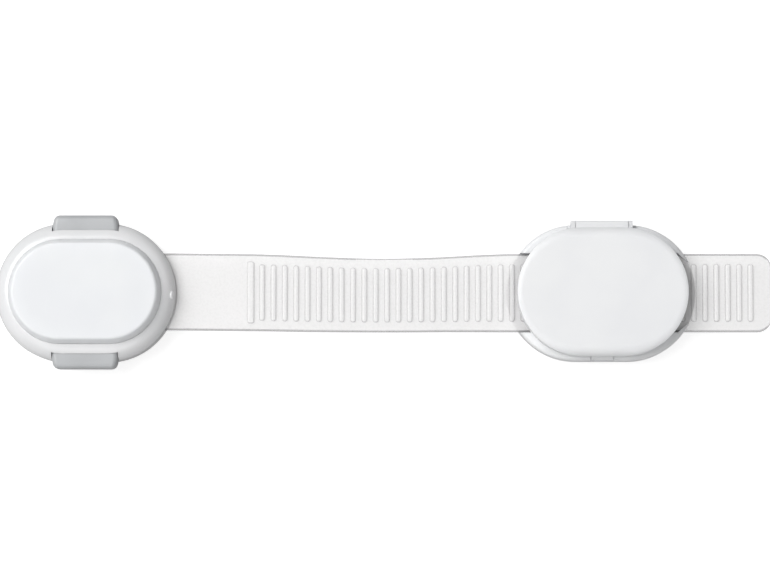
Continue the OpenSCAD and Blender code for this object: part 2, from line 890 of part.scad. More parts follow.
module strap_pawl() {
    low = z_pawl - pawl_t;
    tooth = (rib_pitch - rib_w) / 2 - tooth_play;
    z_tip = z_web + tooth_play;
    z_leaf = z_rib + 2 * tooth_play;
    color([0.88, 0.88, 0.84])
        translate([adjuster_x, 0, 0])
            difference() {
                translate([0, pawl_w / 2, 0])
                    rotate([90, 0, 0])
                        linear_extrude(pawl_w)
                            polygon([
                                [-root_x - root_l / 2, low],
                                [-root_x + root_l / 2, low],
                                [tooth_off - tooth - leaf_t, z_leaf],
                                [tooth_off - tooth, z_leaf],
                                [tooth_off - tooth, z_tip],
                                [tooth_off + tooth, z_tip],
                                [tooth_off + tooth, z_leaf + leaf_t],
                                [-root_x + root_l / 2 + leaf_t / 2, z_pawl],
                                [-root_x - root_l / 2, z_pawl]
                            ]);
                for (side = [-1, 1])
                    translate([-root_x, side * stake_gap / 2, low - over])
                        cylinder(d = stake_d + 2 * near, h = pawl_t + 2 * over);
            }
}

latch_pad();
latch_base();
catch_spring();
back_plate();
back_plate_screws();
latch_housing();
latch_cap();
upper_button();
lower_button();
upper_button_spring();
lower_button_spring();
strap();
adjuster_pad();
adjuster_base();
adjuster_lid();
lid_hinge_pin();
strap_pawl();
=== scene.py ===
"""Cabinet safety lock: ribbed strap between a squeeze latch and an adjuster with a hinged lid."""
import math

import bmesh
import bpy
from mathutils import Matrix, Vector


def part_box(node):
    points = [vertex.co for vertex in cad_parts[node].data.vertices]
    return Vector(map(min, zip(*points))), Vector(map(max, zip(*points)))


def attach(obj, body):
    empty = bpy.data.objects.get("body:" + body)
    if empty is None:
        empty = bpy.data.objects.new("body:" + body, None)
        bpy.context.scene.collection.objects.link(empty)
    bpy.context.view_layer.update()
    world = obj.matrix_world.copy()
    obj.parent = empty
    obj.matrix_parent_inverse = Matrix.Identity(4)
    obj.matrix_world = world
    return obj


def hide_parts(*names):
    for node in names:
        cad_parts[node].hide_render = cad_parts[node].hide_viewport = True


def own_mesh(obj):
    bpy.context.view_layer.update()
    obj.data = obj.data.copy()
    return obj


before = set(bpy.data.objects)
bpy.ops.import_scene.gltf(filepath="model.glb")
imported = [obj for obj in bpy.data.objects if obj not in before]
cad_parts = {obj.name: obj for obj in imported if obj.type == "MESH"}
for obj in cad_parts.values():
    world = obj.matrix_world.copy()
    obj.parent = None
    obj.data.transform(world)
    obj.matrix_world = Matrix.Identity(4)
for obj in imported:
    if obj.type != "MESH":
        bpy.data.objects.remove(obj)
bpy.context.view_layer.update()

MM = 0.001
# Places this close together count as one, in metres; the second holds for points just made
NEAR = 1e-6
FINE = 1e-7
# Edges sharper than this stay crisp
CREASE = math.radians(38)
FULL_TURN = 2 * math.pi

# Sizes that follow the part's source, in millimetres
HEAD_X = -73.45
WEB_THICKNESS = 1.6
STRAP_EDGE = 0.5
FIRST_RIB_X = -32.95
RIB_PITCH = 2.8
RIB_COUNT = 45
RIB_WIDTH = 1.4
RIB_LENGTH = 14.0
RIB_HEIGHT = 0.8
LEAD_RIB_WIDTH = 1.8
LEAD_RIB_LENGTH = 15.3
BOSS_X = 13.0
BOSS_Y = 5.5
BOSS_HOLE = 4.5
HOUSING_HALF = 22.1
HOUSING_ROUND = 4.1
HOUSING_SHOULDER_Z = 7.2
BAR_FRONT = 18.9
COIL_RADIUS = 1.1
WIRE = 0.4
SCREW_HEAD_HEIGHT = 1.0
SCREW_SHANK = 1.9
SCREW_LENGTH = 5.0
FOOT_REACH = 5.0
FOOT_TOP = 1.9
ARM_INNER = 3.2
ARM_OUTER = 4.2
ARM_WIDTH = 6.0
ARM_TOP = 9.4
BARB_TIP = 5.3
BARB_UNDER = 7.7
BARB_UPPER = 8.6
BARB_CREST = 4.5

# Forms that only this scene has, in millimetres where no other unit is named

# Strap: round tail, soft ribs, and its lie as a flexible piece; waist and snug are shares of width
TAIL_CORNER = 3.6
RIB_CORNER = 0.6
RIB_CREST = 0.55
PLAIN_STEPS = 12
BOW = 0.6
BOW_REACH = 34.0
LIFT = 0.3
LIFT_START = 20.0
LIFT_RUN = 31.0
WAIST = 0.042
SNUG = 0.018
SNUG_START = 14.0
SNUG_RUN = 16.0
# Painted shade of the strap: faces past the band count as rim, levels say how light a face is
EDGE_BAND = 8.2
FLAT_FACE = 0.995
RIM_LEVEL = 0.4
SIDE_LEVEL = 0.1
# Pads: inset of the flat faces, how far their edges pull in, and the band that counts as edge
PAD_INSET = 0.25
PAD_PULL = 0.14
PAD_RIM = 0.05
# Buttons: where the bar starts and leans in, and its rounding; the lean is a share of its length
BAR_ROOT = 14.5
BAR_BEND = 16.4
BAR_LEAN = 0.935
BAR_EDGE = 1.2
# Springs, in turns and points
OPEN_TURNS = 5
TURN_STEPS = 20
WIRE_SIDES = 10
# Screws: head and its rim, point of the shank, cross recess; the taper is a share of its size
SCREW_HEAD = 3.6
HEAD_RIM = 0.12
HEAD_RIM_HEIGHT = 0.1
POINT_RADIUS = 0.2
POINT_LENGTH = 0.9
RECESS_REACH = 0.95
RECESS_HALF = 0.17
RECESS_DEPTH = 0.62
RECESS_OVER = 0.2
RECESS_TAPER = (0.45, 0.75, 1)
# Catch: rounding, and the sink of an arm in the foot
CATCH_EDGE = 0.1
ARM_SINK = 0.1
# Gate mark: its place on the shoulder and its size; the oval is a share of its size
GATE_OUT = 3.3
GATE_Y = -0.75
GATE_FOOT = 1.0
GATE_TOP = 0.78
GATE_HEIGHT = 0.8
GATE_EDGE = 0.18
GATE_OVAL = (1.15, 0.85, 1)


# Mesh helpers

def finished_piece(name, bm, material, body):
    """Turn a bmesh into a shaded piece that rides on a body and takes a finish slot."""
    bmesh.ops.recalc_face_normals(bm, faces=bm.faces[:])
    mesh = bpy.data.meshes.new(name)
    bm.to_mesh(mesh)
    bm.free()
    piece = bpy.data.objects.new(name, mesh)
    bpy.context.scene.collection.objects.link(piece)
    shade_by_angle(mesh)
    mesh.materials.append(material)
    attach(piece, body)
    return piece


def shade_by_angle(mesh):
    """Smooth all faces and keep sharp edges crisp."""
    bm = bmesh.new()
    bm.from_mesh(mesh)
    for face in bm.faces:
        face.smooth = True
    for edge in bm.edges:
        edge.smooth = edge.is_manifold and edge.calc_face_angle(0.0) < CREASE
    bm.to_mesh(mesh)
    bm.free()


def even_shading(piece):
    """Keep broad flat faces flat between their rounded edges."""
    weighted = piece.modifiers.new("even_shading", "WEIGHTED_NORMAL")
    weighted.keep_sharp = True
    weighted.weight = 80


def cut_away(piece, cutter_bm):
    """Cut the shape of a second bmesh out of a piece for good."""
    cutter_mesh = bpy.data.meshes.new("cutter")
    bmesh.ops.recalc_face_normals(cutter_bm, faces=cutter_bm.faces[:])
    cutter_bm.to_mesh(cutter_mesh)
    cutter_bm.free()
    cutter = bpy.data.objects.new("cutter", cutter_mesh)
    bpy.context.scene.collection.objects.link(cutter)
    cut = piece.modifiers.new("cut", "BOOLEAN")
    cut.operation = "DIFFERENCE"
    cut.solver = "EXACT"
    cut.object = cutter
    bpy.context.view_layer.update()
    graph = bpy.context.evaluated_depsgraph_get()
    trimmed = bpy.data.meshes.new_from_object(piece.evaluated_get(graph))
    piece.modifiers.remove(cut)
    plain = piece.data
    piece.data = trimmed
    trimmed.name = piece.name
    bpy.data.meshes.remove(plain)
    bpy.data.objects.remove(cutter)
    bpy.data.meshes.remove(cutter_mesh)
    shade_by_angle(trimmed)


def everything(bm):
    """All parts of a bmesh, for an operator that works on the whole."""
    return bm.verts[:] + bm.edges[:] + bm.faces[:]


def points(parts):
    """The vertices among the parts that an operator gives back."""
    return [part for part in parts if isinstance(part, bmesh.types.BMVert)]


def block(bm, low, high):
    """A six-sided block between two corners, in metres."""
    size = Vector(high) - Vector(low)
    middle = (Vector(high) + Vector(low)) / 2
    corners = bmesh.ops.create_cube(bm, size=1.0)["verts"]
    bmesh.ops.scale(bm, vec=size, verts=corners)
    bmesh.ops.translate(bm, vec=middle, verts=corners)
    return corners


def rounded(bm, edges, offset_mm, segments):
    """Round a set of edges by a radius in millimetres."""
    bmesh.ops.bevel(
        bm, geom=edges, offset=offset_mm * MM, offset_type="OFFSET", segments=segments,
        profile=0.5, affect="EDGES", clamp_overlap=True, material=-1,
    )


def rise(edge):
    """Height between the two ends of an edge."""
    return abs(edge.verts[0].co.z - edge.verts[1].co.z)


def lies_at(edge, x):
    """Whether both ends of an edge lie at one place along the strap."""
    return all(abs(v.co.x - x) < NEAR for v in edge.verts)


def along(value, start, run):
    """How far a value has gone along a run from its start, from 0 to 1."""
    return min(max((value - start) / run, 0.0), 1.0)


# Material helpers

def lin(code):
    """sRGB hex to linear colour with alpha."""
    parts = [int(code[i:i + 2], 16) / 255 for i in (1, 3, 5)]
    linear = [p / 12.92 if p <= 0.04045 else ((p + 0.055) / 1.055) ** 2.4 for p in parts]
    return (*linear, 1.0)


def add(tree, kind, settings, links=()):
    """Add one node: settings by name, links as (input, source node, output)."""
    node = tree.nodes.new(kind)
    for name, value in settings.items():
        if name == "ramp":
            for step, (place, code) in zip(node.color_ramp.elements, value):
                step.position = place
                step.color = lin(code)
        elif isinstance(name, int) or name in node.inputs:
            node.inputs[name].default_value = value
        else:
            setattr(node, name, value)
    for name, source, output in links:
        tree.links.new(source.outputs[output], node.inputs[name])
    return node


def new_material(name, constants):
    """A material with its shader's own sockets set."""
    material = bpy.data.materials.new(name)
    material.use_nodes = True
    shader = material.node_tree.nodes["Principled BSDF"]
    for socket, value in constants.items():
        shader.inputs[socket].default_value = value
    return material, material.node_tree, shader


def dress(tree, shader, tint, gloss, relief):
    """Lead a colour, a roughness and a relief to the shader."""
    tree.links.new(tint.outputs["Color"], shader.inputs["Base Color"])
    tree.links.new(gloss.outputs["Result"], shader.inputs["Roughness"])
    tree.links.new(relief.outputs["Normal"], shader.inputs["Normal"])


def milky(ior, weight, reach_mm):
    """Sockets of a plastic that scatters light inside; the reach is for red, green and blue."""
    return {
        "IOR": ior, "Subsurface Weight": weight, "Subsurface Scale": 1.0,
        "Subsurface Radius": tuple(reach * MM for reach in reach_mm),
    }


def moulded(name, constants, pale, deep, flow_mm, rough, spread, grain_mm, depth_mm):
    """Injection moulded plastic: cloudy flow in its colour, fine tool grain in gloss and relief."""
    material, tree, shader = new_material(name, constants)
    place = add(tree, "ShaderNodeTexCoord", {})
    flow = add(
        tree, "ShaderNodeTexNoise", {"Scale": 1 / (flow_mm * MM), "Detail": 2.0},
        [("Vector", place, "Object")],
    )
    tint = add(
        tree, "ShaderNodeValToRGB", {"ramp": [(0.35, deep), (0.65, pale)]},
        [("Fac", flow, "Fac")],
    )
    grain = add(
        tree, "ShaderNodeTexNoise", {"Scale": 1 / (grain_mm * MM), "Detail": 3.0},
        [("Vector", place, "Object")],
    )
    gloss = add(
        tree, "ShaderNodeMapRange",
        {"From Min": 0.3, "From Max": 0.7, "To Min": rough - spread, "To Max": rough + spread},
        [("Value", grain, "Fac")],
    )
    relief = add(
        tree, "ShaderNodeBump", {"Strength": 1.0, "Distance": depth_mm * MM},
        [("Height", grain, "Fac")],
    )
    dress(tree, shader, tint, gloss, relief)
    return material


def metal(name, pale, deep, rough, spread, grain_mm, depth_mm, stretch):
    """Bare or plated steel with fine marks, stretched along one direction where it was drawn."""
    material, tree, shader = new_material(name, {"Metallic": 1.0})
    place = add(tree, "ShaderNodeTexCoord", {})
    lie = add(tree, "ShaderNodeMapping", {"Scale": stretch}, [("Vector", place, "Object")])
    marks = add(
        tree, "ShaderNodeTexNoise", {"Scale": 1 / (grain_mm * MM), "Detail": 4.0},
        [("Vector", lie, "Vector")],
    )
    tint = add(
        tree, "ShaderNodeValToRGB", {"ramp": [(0.3, deep), (0.7, pale)]},
        [("Fac", marks, "Fac")],
    )
    gloss = add(
        tree, "ShaderNodeMapRange",
        {"From Min": 0.3, "From Max": 0.7, "To Min": rough - spread, "To Max": rough + spread},
        [("Value", marks, "Fac")],
    )
    relief = add(
        tree, "ShaderNodeBump", {"Strength": 1.0, "Distance": depth_mm * MM},
        [("Height", marks, "Fac")],
    )
    dress(tree, shader, tint, gloss, relief)
    return material


# Materials

ABS_IOR = 1.53

# ABS from a polished tool: white with clear soft reflections and a faint waviness
gloss_white_abs = moulded(
    "gloss_white_abs", milky(ABS_IOR, weight=0.06, reach_mm=(1.2, 1.2, 1.2)),
    pale="#ededee", deep="#e8e9ea", flow_mm=14.0,
    rough=0.2, spread=0.03, grain_mm=2.2, depth_mm=0.004,
)

# ABS from a spark-eroded tool: cool white, satin, its 0.1 mm texture drawn at 0.7 mm to show
satin_white_abs = moulded(
    "satin_white_abs", milky(ABS_IOR, weight=0.5, reach_mm=(2.0, 2.0, 2.0)),
    pale="#f2f4f6", deep="#eef0f3", flow_mm=18.0,
    rough=0.42, spread=0.04, grain_mm=0.7, depth_mm=0.003,
)

# The lid is the same resin from a duller tool: softer gloss, its texture drawn at 0.8 mm to show
satin_lid_abs = moulded(
    "satin_lid_abs", milky(ABS_IOR, weight=0.3, reach_mm=(1.4, 1.4, 1.4)),
    pale="#f3f4f5", deep="#eff0f2", flow_mm=16.0,
    rough=0.48, spread=0.04, grain_mm=0.8, depth_mm=0.003,
)

# The tray is the same resin from a half polished tool; light scatters in its thin walls
soft_white_abs = moulded(
    "soft_white_abs", milky(ABS_IOR, weight=0.4, reach_mm=(1.8, 1.8, 1.8)),
    pale="#f5f6f7", deep="#f1f2f4", flow_mm=14.0,
    rough=0.32, spread=0.04, grain_mm=1.2, depth_mm=0.003,
)

# Grey ABS for the buttons: pigmented, satin, its 0.1 mm moulded grain drawn at 0.6 mm to show
grey_abs = moulded(
    "grey_abs", {"IOR": ABS_IOR},
    pale="#bcbec0", deep="#b5b7b9", flow_mm=8.0,
    rough=0.34, spread=0.05, grain_mm=0.6, depth_mm=0.003,
)

# Natural acetal: milky, a little yellow, waxy sheen, its fine grain drawn at 0.9 mm to show
natural_acetal = moulded(
    "natural_acetal", milky(1.48, weight=0.15, reach_mm=(1.5, 1.3, 1.0)),
    pale="#ebe8dc", deep="#e3dfd1", flow_mm=6.0,
    rough=0.33, spread=0.04, grain_mm=0.9, depth_mm=0.003,
)

# Zinc plated steel: pale blue-grey with a cloudy passivation and bright edges
zinc_steel = metal(
    "zinc_steel", pale="#d3d7db", deep="#b4b9c0",
    rough=0.27, spread=0.07, grain_mm=0.8, depth_mm=0.002, stretch=(1, 1, 1),
)

# Drawn spring steel: darker, its fine die marks drawn at 0.25 mm to show
spring_steel = metal(
    "spring_steel", pale="#b9bbbd", deep="#8f9295",
    rough=0.3, spread=0.06, grain_mm=0.25, depth_mm=0.002, stretch=(1, 0.3, 1),
)

# Ground steel pin: bright, with marks that run round it, drawn at 0.3 mm to show
ground_steel = metal(
    "ground_steel", pale="#d0d2d4", deep="#b7babd",
    rough=0.22, spread=0.05, grain_mm=0.3, depth_mm=0.001, stretch=(4, 1, 1),
)


def frosted_strap_plastic():
    """Flexible polyurethane from an etched tool: milky flats; painted shade on steep sides."""
    # The etch is about 0.05 mm; it is drawn at 0.6 mm so that it shows
    etch_mm = 0.6
    etch_depth_mm = 0.0005
    etch_tint = 0.06
    material, tree, shader = new_material(
        "frosted_polyurethane", {"IOR": 1.49, "Alpha": 0.46},
    )
    place = add(tree, "ShaderNodeTexCoord", {})
    # The face attribute carries painted shade: steep faces and rims come out darker
    level = add(tree, "ShaderNodeAttribute", {"attribute_name": "level"})
    etch = add(
        tree, "ShaderNodeTexNoise", {"Scale": 1 / (etch_mm * MM), "Detail": 3.0},
        [("Vector", place, "Object")],
    )
    shade = add(
        tree, "ShaderNodeMath", {"operation": "MULTIPLY_ADD", 1: etch_tint},
        [("Value", etch, "Fac"), (2, level, "Fac")],
    )
    # Painted shade: the dark end of this ramp darkens steep sides and rims, the light end is the
    # flats
    tint = add(
        tree, "ShaderNodeValToRGB", {"ramp": [(0.0, "#4c4c50"), (0.97, "#fbfafa")]},
        [("Fac", shade, "Value")],
    )
    frost = add(
        tree, "ShaderNodeMapRange",
        {"From Min": 0.3, "From Max": 0.7, "To Min": 0.24, "To Max": 0.32},
        [("Value", etch, "Fac")],
    )
    relief = add(
        tree, "ShaderNodeBump", {"Strength": 1.0, "Distance": etch_depth_mm * MM},
        [("Height", etch, "Fac")],
    )
    dress(tree, shader, tint, frost, relief)
    return material


def adhesive_foam():
    """Closed-cell polyethylene foam tape: off-white, matt, with a skin of fine cells."""
    cell_mm = 0.5
    cell_depth_mm = 0.06
    cloud_mm = 5.0
    material, tree, shader = new_material("polyethylene_foam", {"IOR": 1.45})
    place = add(tree, "ShaderNodeTexCoord", {})
    cells = add(
        tree, "ShaderNodeTexVoronoi", {"Scale": 1 / (cell_mm * MM)},
        [("Vector", place, "Object")],
    )
    cloud = add(
        tree, "ShaderNodeTexNoise", {"Scale": 1 / (cloud_mm * MM), "Detail": 2.0},
        [("Vector", place, "Object")],
    )
    tint = add(
        tree, "ShaderNodeValToRGB", {"ramp": [(0.3, "#dcdad2"), (0.7, "#e8e6df")]},
        [("Fac", cloud, "Fac")],
    )
    dull = add(
        tree, "ShaderNodeMapRange",
        {"From Min": 0.0, "From Max": 0.6, "To Min": 0.72, "To Max": 0.9},
        [("Value", cells, "Distance")],
    )
    relief = add(
        tree, "ShaderNodeBump", {"Strength": 0.8, "Distance": cell_depth_mm * MM},
        [("Height", cells, "Distance")],
    )
    dress(tree, shader, tint, dull, relief)
    return material


frosted_polyurethane = frosted_strap_plastic()
foam_tape = adhesive_foam()

CAD_FINISHES = {
    "latch_base": gloss_white_abs,
    "back_plate": gloss_white_abs,
    "latch_housing": gloss_white_abs,
    "latch_cap": satin_white_abs,
    "adjuster_base": soft_white_abs,
    "adjuster_lid": satin_lid_abs,
    "lid_hinge_pin": ground_steel,
    "strap_pawl": natural_acetal,
}
for node_name, finish in CAD_FINISHES.items():
    for finish_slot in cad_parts[node_name].material_slots:
        finish_slot.material = finish


# Strap

def strap_line(x):
    """Sideways lie of the flexible strap between the pucks, and its width there, by place in mm."""
    swing = math.cos(math.pi / 2 * along(abs(x), 0.0, BOW_REACH)) ** 2
    lift = along(-x, LIFT_START, LIFT_RUN)
    snug = along(x, SNUG_START, SNUG_RUN)
    return (LIFT * lift - BOW * swing) * MM, 1.0 - WAIST * swing + SNUG * snug


def strap_web(bm, low, high, web_top):
    """Flat web of the strap with a round tail and soft rims."""
    block(bm, low, (high.x, high.y, web_top))
    tail = [e for e in bm.edges if lies_at(e, high.x) and rise(e) > NEAR]
    rounded(bm, tail, TAIL_CORNER, segments=10)
    rim = [e for e in bm.edges if rise(e) < FINE and not lies_at(e, low.x)]
    rounded(bm, rim, STRAP_EDGE, segments=4)


def rib_strip(bm, x, width, web_top):
    """Upper faces of the web across one rib's width, each with its middle."""
    found = []
    for face in bm.faces:
        middle = face.calc_center_median()
        faces_up = face.normal.z > 0.9
        on_web = abs(middle.z - web_top) < NEAR
        if faces_up and on_web and abs(middle.x - x) < width / 2:
            found.append((face, middle))
    return found


def raise_ribs(bm, low, web_top):
    """Cut the ribs' feet into the web, lift them and soften their corners and crests."""
    sizes = [(FIRST_RIB_X, LEAD_RIB_WIDTH, LEAD_RIB_LENGTH)]
    for i in range(1, RIB_COUNT):
        sizes.append((FIRST_RIB_X + i * RIB_PITCH, RIB_WIDTH, RIB_LENGTH))
    ribs = [(x * MM, width * MM, length * MM) for x, width, length in sizes]
    cuts = [x + side * width / 2 for x, width, _ in ribs for side in (-1, 1)]
    plain_end = ribs[0][0] - ribs[0][1]
    cuts += [low.x + (plain_end - low.x) * i / PLAIN_STEPS for i in range(1, PLAIN_STEPS)]
    for x in cuts:
        bmesh.ops.bisect_plane(
            bm, geom=everything(bm), plane_co=(x, 0, 0), plane_no=(1, 0, 0), dist=FINE,
        )
    feet = []
    for x, width, length in ribs:
        for side in (-1, 1):
            strip = [face for face, _ in rib_strip(bm, x, width, web_top)]
            around = {e for face in strip for e in face.edges}
            corners = {v for face in strip for v in face.verts}
            bmesh.ops.bisect_plane(
                bm, geom=list(corners) + list(around) + strip,
                plane_co=(0, side * length / 2, 0), plane_no=(0, 1, 0), dist=FINE,
            )
        feet += [
            face for face, middle in rib_strip(bm, x, width, web_top)
            if abs(middle.y) < length / 2
        ]
    tops = bmesh.ops.extrude_discrete_faces(bm, faces=feet)["faces"]
    raised = list({v for face in tops for v in face.verts})
    height = RIB_HEIGHT * MM
    bmesh.ops.translate(bm, vec=(0, 0, height), verts=raised)
    uprights = [e for e in bm.edges if abs(rise(e) - height) < FINE]
    rounded(bm, uprights, RIB_CORNER, segments=4)
    under_crest = web_top + 0.99 * height
    crests = [e for e in bm.edges if all(v.co.z > under_crest for v in e.verts)]
    rounded(bm, crests, RIB_CREST, segments=3)


def cut_boss_holes(piece, z):
    """Two holes at the strap's hidden end for the bosses of the housing."""
    holes = bmesh.new()
    for side in (-1, 1):
        hole = bmesh.ops.create_cone(
            holes, cap_ends=True, segments=32, depth=6 * MM,
            radius1=BOSS_HOLE / 2 * MM, radius2=BOSS_HOLE / 2 * MM,
        )["verts"]
        bmesh.ops.translate(
            holes, verts=hole, vec=((HEAD_X + BOSS_X) * MM, side * BOSS_Y * MM, z),
        )
    cut_away(piece, holes)


def paint_steep_shade(piece):
    """Note how level each face lies, for the painted shade of steep faces and rims in the tint."""
    level = piece.data.attributes.new("level", "FLOAT", "FACE")
    for face in piece.data.polygons:
        flat = abs(face.normal.z)
        # Painted shade: rim faces are darkest, other faces are painted lighter the flatter they lie
        if abs(face.center.y) > EDGE_BAND * MM and flat < FLAT_FACE:
            painted_lightness = RIM_LEVEL * flat
        else:
            painted_lightness = SIDE_LEVEL + (1.0 - SIDE_LEVEL) * flat
        level.data[face.index].value = painted_lightness


def ribbed_strap():
    """One moulding: rounded web with a round tail and a row of soft ribs."""
    low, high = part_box("strap")
    web_top = low.z + WEB_THICKNESS * MM
    bm = bmesh.new()
    strap_web(bm, low, high, web_top)
    raise_ribs(bm, low, web_top)
    for v in bm.verts:
        bow, narrow = strap_line(v.co.x / MM)
        v.co.y = v.co.y * narrow + bow
    piece = finished_piece("ribbed_strap", bm, frosted_polyurethane, "head")
    cut_boss_holes(piece, (low.z + web_top) / 2)
    even_shading(piece)
    paint_steep_shade(piece)
    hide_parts("strap")


# Adhesive pads

def foam_pad(name, node, body):
    """Die-cut oval of foam tape whose sides bulge a little under the puck."""
    low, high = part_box(node)
    middle = (low + high) / 2
    thickness = high.z - low.z
    radius = (high.y - low.y) / 2
    reach = (high.x - low.x) / 2 - radius
    bm = bmesh.new()
    rim = bmesh.ops.create_circle(bm, cap_ends=True, segments=96, radius=radius)["verts"]
    for v in rim:
        v.co.x += math.copysign(reach, v.co.x) if abs(v.co.x) > FINE else 0.0
    bmesh.ops.inset_region(bm, faces=bm.faces[:], thickness=PAD_INSET * MM)
    bmesh.ops.translate(bm, vec=(middle.x, middle.y, low.z), verts=bm.verts[:])
    upper = bmesh.ops.extrude_face_region(bm, geom=bm.faces[:], use_keep_orig=True)["geom"]
    bmesh.ops.translate(bm, vec=(0, 0, thickness), verts=points(upper))
    bmesh.ops.remove_doubles(bm, verts=bm.verts[:], dist=FINE)
    walls = [e for e in bm.edges if rise(e) > 0.5 * thickness]
    bmesh.ops.subdivide_edges(bm, edges=walls, cuts=5, use_grid_fill=True)
    for v in bm.verts:
        level = (v.co.z - middle.z) / thickness * 2
        out_x = v.co.x - middle.x
        past_straight = max(abs(out_x) - reach, 0) * math.copysign(1, out_x)
        outward = Vector((past_straight, v.co.y - middle.y, 0))
        if outward.length > radius - PAD_RIM * MM:
            v.co -= outward.normalized() * (PAD_PULL * MM * level * level)
    piece = finished_piece(name, bm, foam_tape, body)
    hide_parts(node)


# Squeeze buttons

def squeeze_button(name, node, side):
    """The frame's flange, plunger and spigot, with a bar in front whose edges are all soft."""
    bm = bmesh.new()
    bm.from_mesh(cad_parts[node].data)
    bmesh.ops.remove_doubles(bm, verts=bm.verts[:], dist=NEAR)
    bmesh.ops.dissolve_limit(
        bm, angle_limit=math.radians(0.5), verts=bm.verts[:], edges=bm.edges[:],
    )
    cut = bmesh.ops.bisect_plane(
        bm, geom=everything(bm), clear_outer=True, dist=FINE,
        plane_co=(0, side * BAR_ROOT * MM, 0), plane_no=(0, side, 0),
    )["geom_cut"]
    seam = [part for part in cut if isinstance(part, bmesh.types.BMEdge)]
    front = bmesh.ops.holes_fill(bm, edges=seam, sides=0)["faces"]
    about = Matrix.Translation((-HEAD_X * MM, 0, 0))
    for step, lean in ((BAR_BEND - BAR_ROOT, 1.0), (BAR_FRONT - BAR_BEND, BAR_LEAN)):
        front = bmesh.ops.extrude_discrete_faces(bm, faces=front)["faces"]
        corners = front[0].verts[:]
        bmesh.ops.translate(bm, vec=(0, side * step * MM, 0), verts=corners)
        bmesh.ops.scale(bm, vec=(lean, 1, 1), space=about, verts=corners)
    behind_root = (BAR_ROOT - 0.01) * MM
    shortest = 0.5 * MM
    lengthwise = [
        e for e in bm.edges
        if all(side * v.co.y > behind_root for v in e.verts)
        and abs(e.verts[0].co.y - e.verts[1].co.y) > shortest
    ]
    rounded(bm, front[0].edges[:] + lengthwise, BAR_EDGE, segments=5)
    piece = finished_piece(name, bm, grey_abs, node)
    even_shading(piece)
    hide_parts(node)


# Button springs

def button_spring(name, node, side):
    """Compression spring: closed coil at each end, open coils between, wire ends cut flat."""
    low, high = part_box(node)
    axis_x = HEAD_X * MM
    axis_z = (low.z + high.z) / 2
    start = low.y if side > 0 else high.y
    length = high.y - low.y
    wire = WIRE * MM
    open_pitch = (length - 3 * wire) / OPEN_TURNS
    bm = bmesh.new()
    ring = bmesh.ops.create_circle(
        bm, cap_ends=False, segments=WIRE_SIDES, radius=wire / 2,
    )["verts"]
    bmesh.ops.translate(bm, vec=(COIL_RADIUS * MM, wire / 2, 0), verts=ring)
    last = bm.verts[:] + bm.edges[:]
    for turns, pitch in ((1, wire), (OPEN_TURNS, open_pitch), (1, wire)):
        last = bmesh.ops.spin(
            bm, geom=last, cent=(0, 0, 0), axis=(0, 1, 0), dvec=(0, pitch / TURN_STEPS, 0),
            angle=FULL_TURN * turns, steps=TURN_STEPS * turns,
            use_merge=False, use_duplicate=False,
        )["geom_last"]
    bmesh.ops.holes_fill(bm, edges=[e for e in bm.edges if e.is_boundary], sides=0)
    if side < 0:
        half_turn = Matrix.Rotation(math.pi, 3, "Z")
        bmesh.ops.rotate(bm, cent=(0, 0, 0), matrix=half_turn, verts=bm.verts[:])
    bmesh.ops.translate(bm, vec=(axis_x, start, axis_z), verts=bm.verts[:])
    piece = finished_piece(name, bm, spring_steel, "head")
    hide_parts(node)
    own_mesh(piece)


# Back plate screws

def turned_screw(bm, x, y, foot_z):
    """One screw turned from its outline, head down."""
    outline = [
        (0.0, 0.0), (SCREW_HEAD / 2 - HEAD_RIM, 0.0), (SCREW_HEAD / 2, HEAD_RIM_HEIGHT),
        (SCREW_SHANK / 2, SCREW_HEAD_HEIGHT), (SCREW_SHANK / 2, SCREW_LENGTH - POINT_LENGTH),
        (POINT_RADIUS, SCREW_LENGTH), (0.0, SCREW_LENGTH),
    ]
    line = [bm.verts.new((x + r * MM, y, foot_z + h * MM)) for r, h in outline]
    edges = [bm.edges.new(pair) for pair in zip(line, line[1:])]
    bmesh.ops.spin(
        bm, geom=line + edges, cent=(x, y, 0), axis=(0, 0, 1), dvec=(0, 0, 0),
        angle=FULL_TURN, steps=28, use_merge=True, use_duplicate=False,
    )


def recess_slot(bm, x, y, foot_z, turn):
    """Cutter for one of the two slots of a cross recess, narrower at its bottom."""
    slot = block(
        bm, (-RECESS_REACH * MM, -RECESS_HALF * MM, -RECESS_OVER * MM),
        (RECESS_REACH * MM, RECESS_HALF * MM, RECESS_DEPTH * MM),
    )
    bmesh.ops.scale(bm, vec=RECESS_TAPER, verts=[v for v in slot if v.co.z > 0])
    bmesh.ops.rotate(bm, cent=(0, 0, 0), matrix=Matrix.Rotation(turn, 3, "Z"), verts=slot)
    bmesh.ops.translate(bm, vec=(x, y, foot_z), verts=slot)


def plate_screws():
    """Four countersunk screws with cross recesses, heads down."""
    foot_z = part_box("back_plate_screws")[0].z
    places = [
        ((HEAD_X + sx * BOSS_X) * MM, sy * BOSS_Y * MM) for sx in (-1, 1) for sy in (-1, 1)
    ]
    bm = bmesh.new()
    for x, y in places:
        turned_screw(bm, x, y, foot_z)
    bmesh.ops.remove_doubles(bm, verts=bm.verts[:], dist=NEAR)
    piece = finished_piece("cross_head_screws", bm, zinc_steel, "head")
    # Each slot is cut in its own pass, because crossing cutters fail together
    for turn in (0.25 * math.pi, 0.75 * math.pi):
        slots = bmesh.new()
        for x, y in places:
            recess_slot(slots, x, y, foot_z, turn)
        cut_away(piece, slots)
    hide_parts("back_plate_screws")


# Catch of the latch base

def catch_foot():
    """Flat foot that the base plate traps against the pad."""
    low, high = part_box("catch_spring")
    bm = bmesh.new()
    block(bm, (low.x, -FOOT_REACH * MM, low.z), (high.x, FOOT_REACH * MM, FOOT_TOP * MM))
    rounded(bm, bm.edges[:], CATCH_EDGE, segments=2)
    piece = finished_piece("catch_foot", bm, natural_acetal, "latch_base")
    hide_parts("catch_spring")


